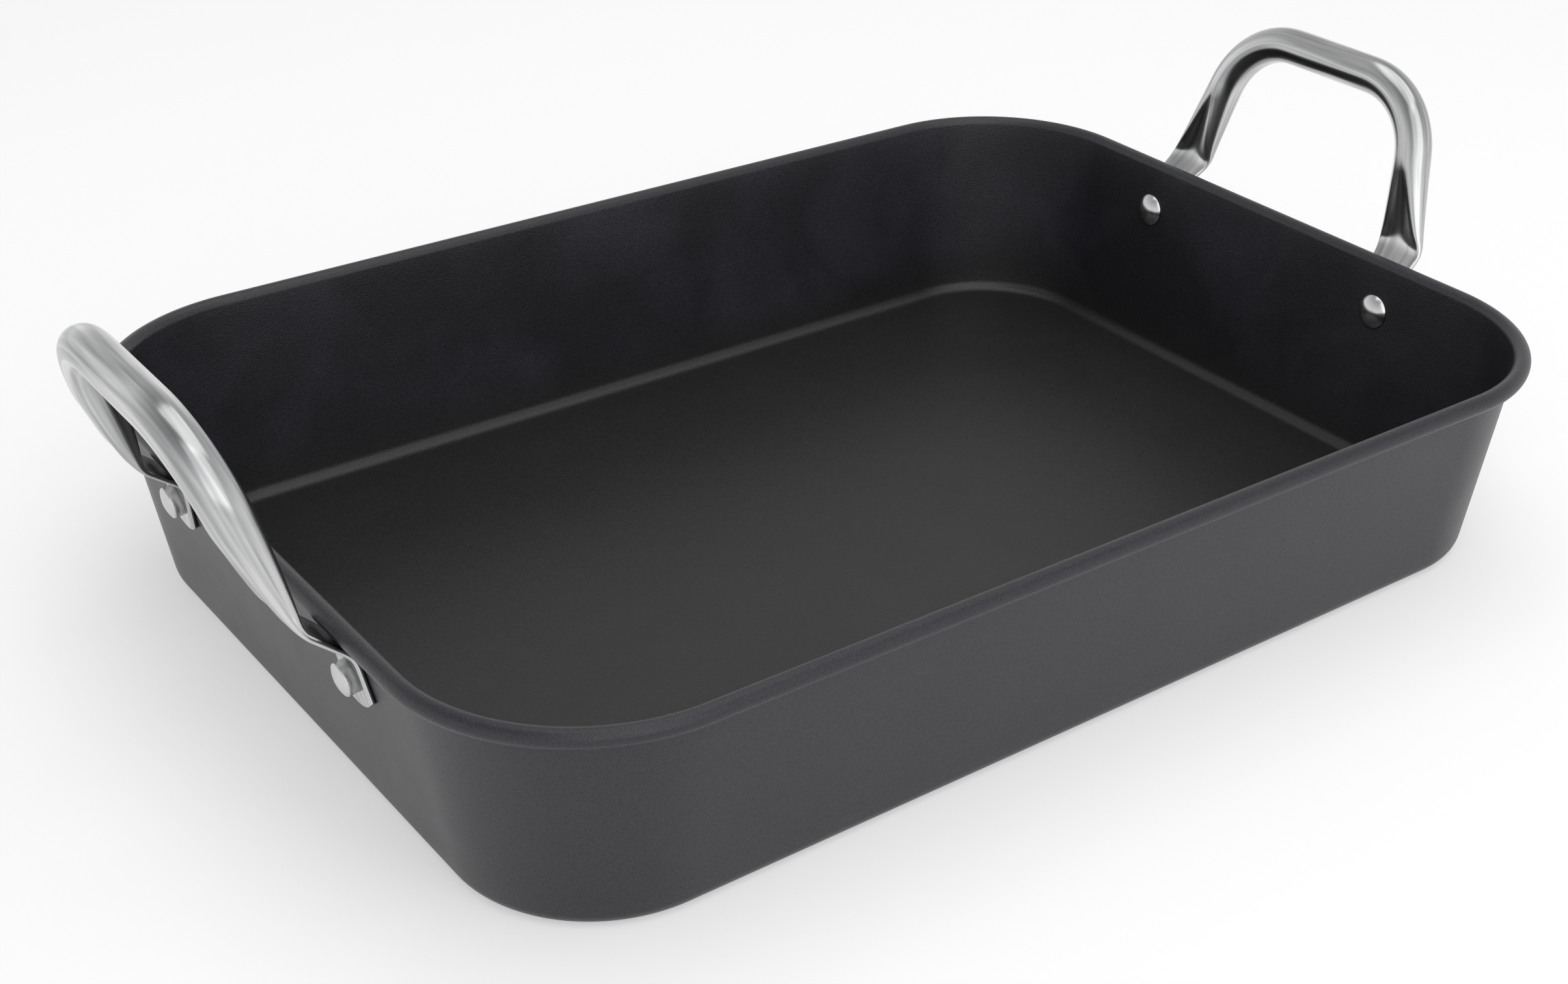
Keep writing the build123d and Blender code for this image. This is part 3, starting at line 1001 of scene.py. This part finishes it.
def rivet_pair_tree():
    """Turns a half section into a rivet and sets one at each end of a line along the wall."""
    tree, given, result = new_geometry_tree(
        "Rivet Pair",
        [
            ("Radius", FLOAT), ("Round Steps", COUNT), ("Place", VECTOR), ("Spacing", FLOAT),
            ("Turn", VECTOR), ("Merge Distance", FLOAT), ("Material", MATERIAL),
        ],
    )
    circle = add_node(
        tree, "GeometryNodeCurvePrimitiveCircle",
        {"Radius": given["Radius"], "Resolution": given["Round Steps"]},
    ).outputs["Curve"]
    path = step(tree, "GeometryNodeSetCurveNormal", circle, mode="Z_UP")
    section = step(tree, "GeometryNodeMeshToCurve", given["Geometry"])
    turned = step(tree, "GeometryNodeCurveToMesh", path, {"Profile Curve": section})
    outward = step(tree, "GeometryNodeFlipFaces", turned)
    rivet = step(
        tree, "GeometryNodeMergeByDistance", outward, {"Distance": given["Merge Distance"]}
    )
    run = add_node(tree, "ShaderNodeCombineXYZ", {"Y": given["Spacing"]}).outputs["Vector"]
    places = add_node(
        tree, "GeometryNodeMeshLine",
        {"Count": 2, "Start Location": given["Place"], "Offset": run}, mode="OFFSET",
    ).outputs["Mesh"]
    rivets = step(
        tree, "GeometryNodeInstanceOnPoints", places,
        {"Instance": rivet, "Rotation": given["Turn"]},
    )
    finish_tree(tree, rivets, given, result)
    return tree


class ROASTING_PAN_OT_rivets(bpy.types.Operator):
    """Makes the rivets of both handles, two on each short wall"""

    bl_idname = "roasting_pan.rivets"
    bl_label = "Rivets"

    def execute(self, context):
        shell, handle, rivet = settings().shell, settings().handle, settings().rivet
        material = rivet_material()
        tree = rivet_pair_tree()
        points, shares = rivet_section(rivet, 2 * handle.tube_wall, shell.sheet)
        widest = max(point.x for point in points)
        drawn = [Vector((point.x - widest, -point.y)) for point in points]
        height = shell.height - handle.strap_drop - handle.tab_rise * math.cos(shell.wall_draft)
        for side, toward in (("right", 1.0), ("left", -1.0)):
            piece = section_piece("rivets_" + side, drawn, TAIL, shares)
            grow(
                piece, tree,
                {
                    "Radius": widest,
                    "Round Steps": rivet.round_steps,
                    "Place": (toward * wall_face(shell, height), -rivet.spacing / 2, height),
                    "Spacing": rivet.spacing,
                    "Turn": (0.0, toward * (math.pi / 2 + shell.wall_draft), 0.0),
                    "Merge Distance": shell.sheet * MERGE_SHARE,
                    "Material": material,
                },
            )
            nodes = ["rivet_" + side + "_" + end for end in ("front", "back")]
            take_place(piece, "rivet_steel", *nodes)
        return {"FINISHED"}


# Studio

def seen_directly(tree, seen, unseen):
    """One value for camera, glossy and transmission rays, and another for the rest."""
    path = add_node(tree, "ShaderNodeLightPath").outputs
    gloss = calculate(tree, "MAXIMUM", path["Is Glossy Ray"], path["Is Transmission Ray"])
    share = calculate(tree, "MAXIMUM", path["Is Camera Ray"], gloss)
    return spread(tree, share, unseen, seen)


def floor_material():
    """Pale floor that keeps shadows and looks near white to the camera and to gloss."""
    studio = settings().studio
    material = bpy.data.materials.new("Pale Floor")
    material.use_nodes = True
    tree = material.node_tree
    tree.nodes.clear()
    paper = add_node(tree, "ShaderNodeBsdfDiffuse", {"Color": (*studio.floor_colour, 1.0)})
    glow = add_node(
        tree, "ShaderNodeEmission", {"Strength": seen_directly(tree, studio.floor_glow, 0.0)}
    )
    both = tree.nodes.new("ShaderNodeAddShader")
    output = tree.nodes.new("ShaderNodeOutputMaterial")
    tree.links.new(paper.outputs["BSDF"], both.inputs[0])
    tree.links.new(glow.outputs["Emission"], both.inputs[1])
    tree.links.new(both.outputs["Shader"], output.inputs["Surface"])
    return material


def add_floor(studio):
    """The floor under the pan."""
    half = studio.floor_side / 2
    corners = [(-half, -half), (half, -half), (half, half), (-half, half)]
    points = [(x, y, -studio.floor_drop) for x, y in corners]
    floor = plain_piece("studio_floor", points, [(0, 1, 2, 3)])
    floor.data.materials.append(floor_material())


def add_sky(studio):
    """A surround, white at the horizon and grey overhead, and a plain soft light for the rest."""
    world = bpy.data.worlds.new("Studio Surround")
    world.use_nodes = True
    tree = world.node_tree
    tree.nodes.clear()
    background = add_node(
        tree, "ShaderNodeBackground", {"Strength": seen_directly(tree, 1.0, studio.sky)}
    )
    toward = add_node(tree, "ShaderNodeTexCoord").outputs["Generated"]
    rise = add_node(tree, "ShaderNodeSeparateXYZ", {"Vector": toward}).outputs["Z"]
    shade = spread(tree, rise, 1.0, studio.zenith, *SKY_RANGE)
    grey = add_node(
        tree, "ShaderNodeCombineColor", {"Red": shade, "Green": shade, "Blue": shade}
    )
    tree.links.new(grey.outputs["Color"], background.inputs["Color"])
    output = tree.nodes.new("ShaderNodeOutputWorld")
    tree.links.new(background.outputs["Background"], output.inputs["Surface"])
    bpy.context.scene.world = world


def add_lamp(name, spot, side, power):
    """A square soft lamp that looks at the pan."""
    lamp = bpy.data.lights.new(name, "AREA")
    lamp.shape = "SQUARE"
    lamp.size = side
    lamp.energy = power
    holder = bpy.data.objects.new(name, lamp)
    bpy.context.scene.collection.objects.link(holder)
    holder.matrix_world = (
        Matrix.Translation(spot) @ Vector(spot).to_track_quat("Z", "Y").to_matrix().to_4x4()
    )


def add_camera(studio):
    """The camera where the photograph was taken from."""
    view = bpy.data.cameras.new("photo_camera")
    view.lens = studio.camera_lens
    view.shift_x = (PHOTO_WIDTH / 2 - studio.centre_column) / PHOTO_WIDTH
    view.shift_y = (studio.centre_row - PHOTO_HEIGHT / 2) / PHOTO_WIDTH
    holder = bpy.data.objects.new("photo_camera", view)
    bpy.context.scene.collection.objects.link(holder)
    holder.matrix_world = (
        Matrix.Translation(studio.camera_place)
        @ Matrix.Rotation(studio.camera_azimuth, 4, "Z")
        @ Matrix.Rotation(math.pi / 2 - studio.camera_elevation, 4, "X")
        @ Matrix.Rotation(studio.camera_roll, 4, "Z")
    )
    bpy.context.scene.camera = holder


class ROASTING_PAN_OT_studio(bpy.types.Operator):
    """Makes the floor, the surround, the lamps and the camera"""

    bl_idname = "roasting_pan.studio"
    bl_label = "Studio"

    def execute(self, context):
        studio = settings().studio
        add_floor(studio)
        add_sky(studio)
        add_lamp("key_lamp", studio.key_place, studio.key_side, studio.key_power)
        add_lamp("top_lamp", studio.top_place, studio.top_side, studio.top_power)
        add_camera(studio)
        context.scene.view_settings.view_transform = "Standard"
        return {"FINISHED"}


# Panel and registration

class ROASTING_PAN_PT_panel(bpy.types.Panel):
    """The roasting pan's operators and settings"""

    bl_idname = "ROASTING_PAN_PT_panel"
    bl_label = "Roasting Pan"
    bl_space_type = "VIEW_3D"
    bl_region_type = "UI"
    bl_category = "Roasting Pan"

    def draw(self, context):
        chosen = context.scene.roasting_pan
        groups = (
            (ROASTING_PAN_OT_shell, (chosen.shell,)),
            (ROASTING_PAN_OT_handles, (chosen.handle,)),
            (ROASTING_PAN_OT_rivets, (chosen.rivet, chosen.finish)),
            (ROASTING_PAN_OT_studio, (chosen.studio,)),
        )
        for operator, values in groups:
            box = self.layout.box()
            box.operator(operator.bl_idname)
            for group in values:
                for name in group.bl_rna.properties.keys():
                    if name not in ("rna_type", "name"):
                        box.prop(group, name)


CLASSES = (
    ShellSizes,
    HandleSizes,
    RivetSizes,
    Finishes,
    StudioSettings,
    RoastingPanSettings,
    ROASTING_PAN_OT_shell,
    ROASTING_PAN_OT_handles,
    ROASTING_PAN_OT_rivets,
    ROASTING_PAN_OT_studio,
    ROASTING_PAN_PT_panel,
)


def register():
    """Registers the classes and the scene's settings."""
    for kind in CLASSES:
        bpy.utils.register_class(kind)
    bpy.types.Scene.roasting_pan = PointerProperty(type=RoastingPanSettings)


def unregister():
    """Takes the settings and the classes away again."""
    del bpy.types.Scene.roasting_pan
    for kind in reversed(CLASSES):
        bpy.utils.unregister_class(kind)


def main():
    """Builds every piece and the studio."""
    register()
    bpy.ops.roasting_pan.shell()
    bpy.ops.roasting_pan.handles()
    bpy.ops.roasting_pan.rivets()
    bpy.ops.roasting_pan.studio()


if __name__ == "__main__":
    main()
